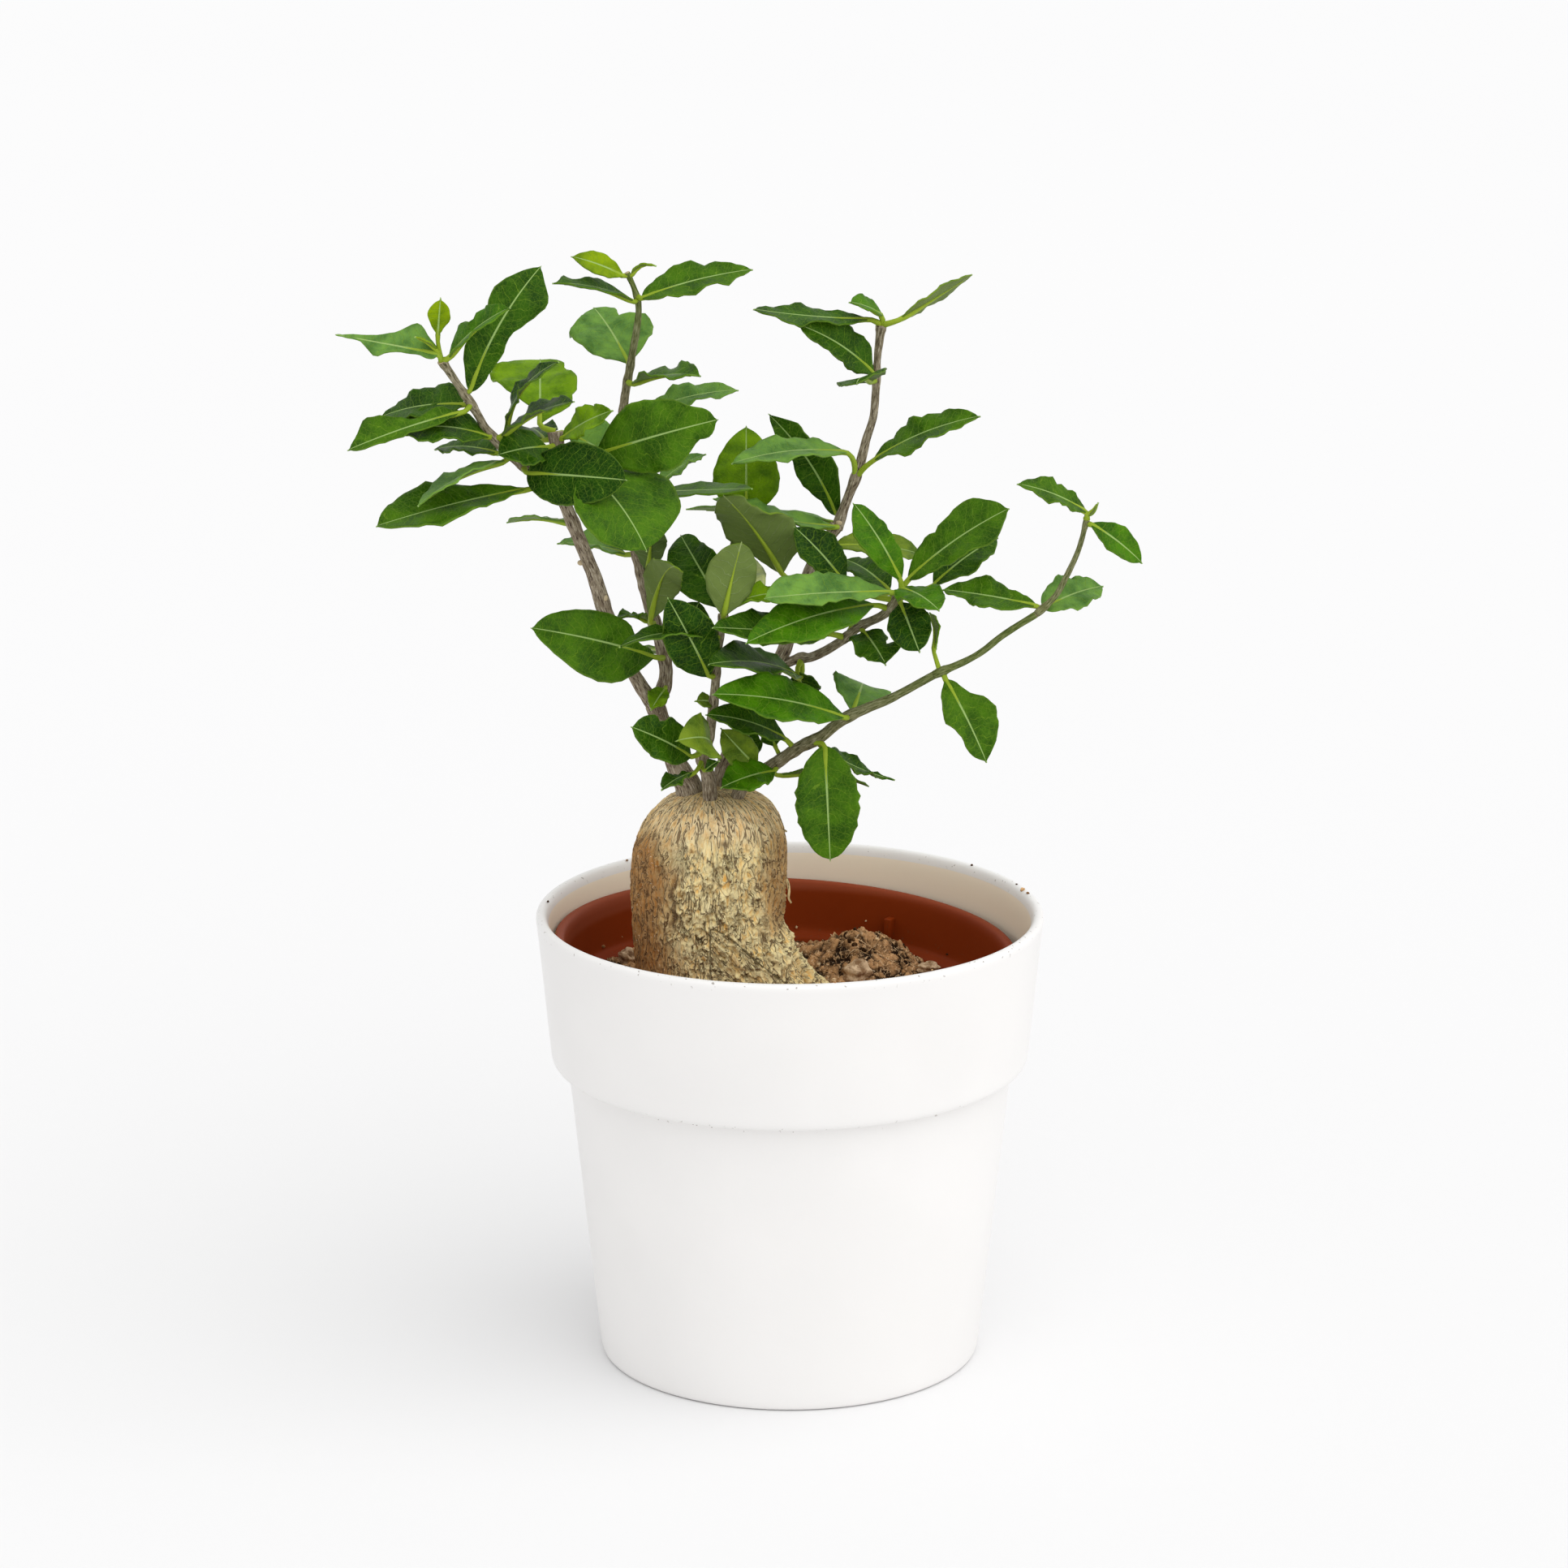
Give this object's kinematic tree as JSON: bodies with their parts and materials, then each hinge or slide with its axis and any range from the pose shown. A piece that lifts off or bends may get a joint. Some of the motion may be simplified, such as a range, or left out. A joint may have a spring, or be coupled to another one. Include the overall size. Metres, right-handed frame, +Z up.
{
  "type": "fockea edulis bonsai in a cover pot",
  "caption": "Fockea edulis grown as a bonsai: a swollen, ridged trunk with leafy stems, in its nursery pot inside a plain white cover pot.",
  "frame": {"origin": "middle of the cover pot's flat underside", "axes": "+Z up the plant, +X to the side the long stem reaches to, -Y towards the side seen in the picture"},
  "size_m": [0.2142, 0.141, 0.3114],
  "materials": {
    "white_plastic": "satin",
    "terracotta_plastic": "satin",
    "bark": "matte",
    "peat": "matte",
    "chips": "matte",
    "foliage": "satin"
  },
  "bodies": {
    "root": {"cover_pot": "white_plastic", "nursery_pot": "terracotta_plastic", "potting_soil": "peat", "caudex": "bark", "chip_right": "chips", "chip_rim": "chips", "chip_left": "chips", "leafy_stem_left": "foliage", "leafy_stem_centre": "foliage", "leafy_stem_tall": "foliage", "leafy_stem_right": "foliage"}
  },
  "joints": []
}
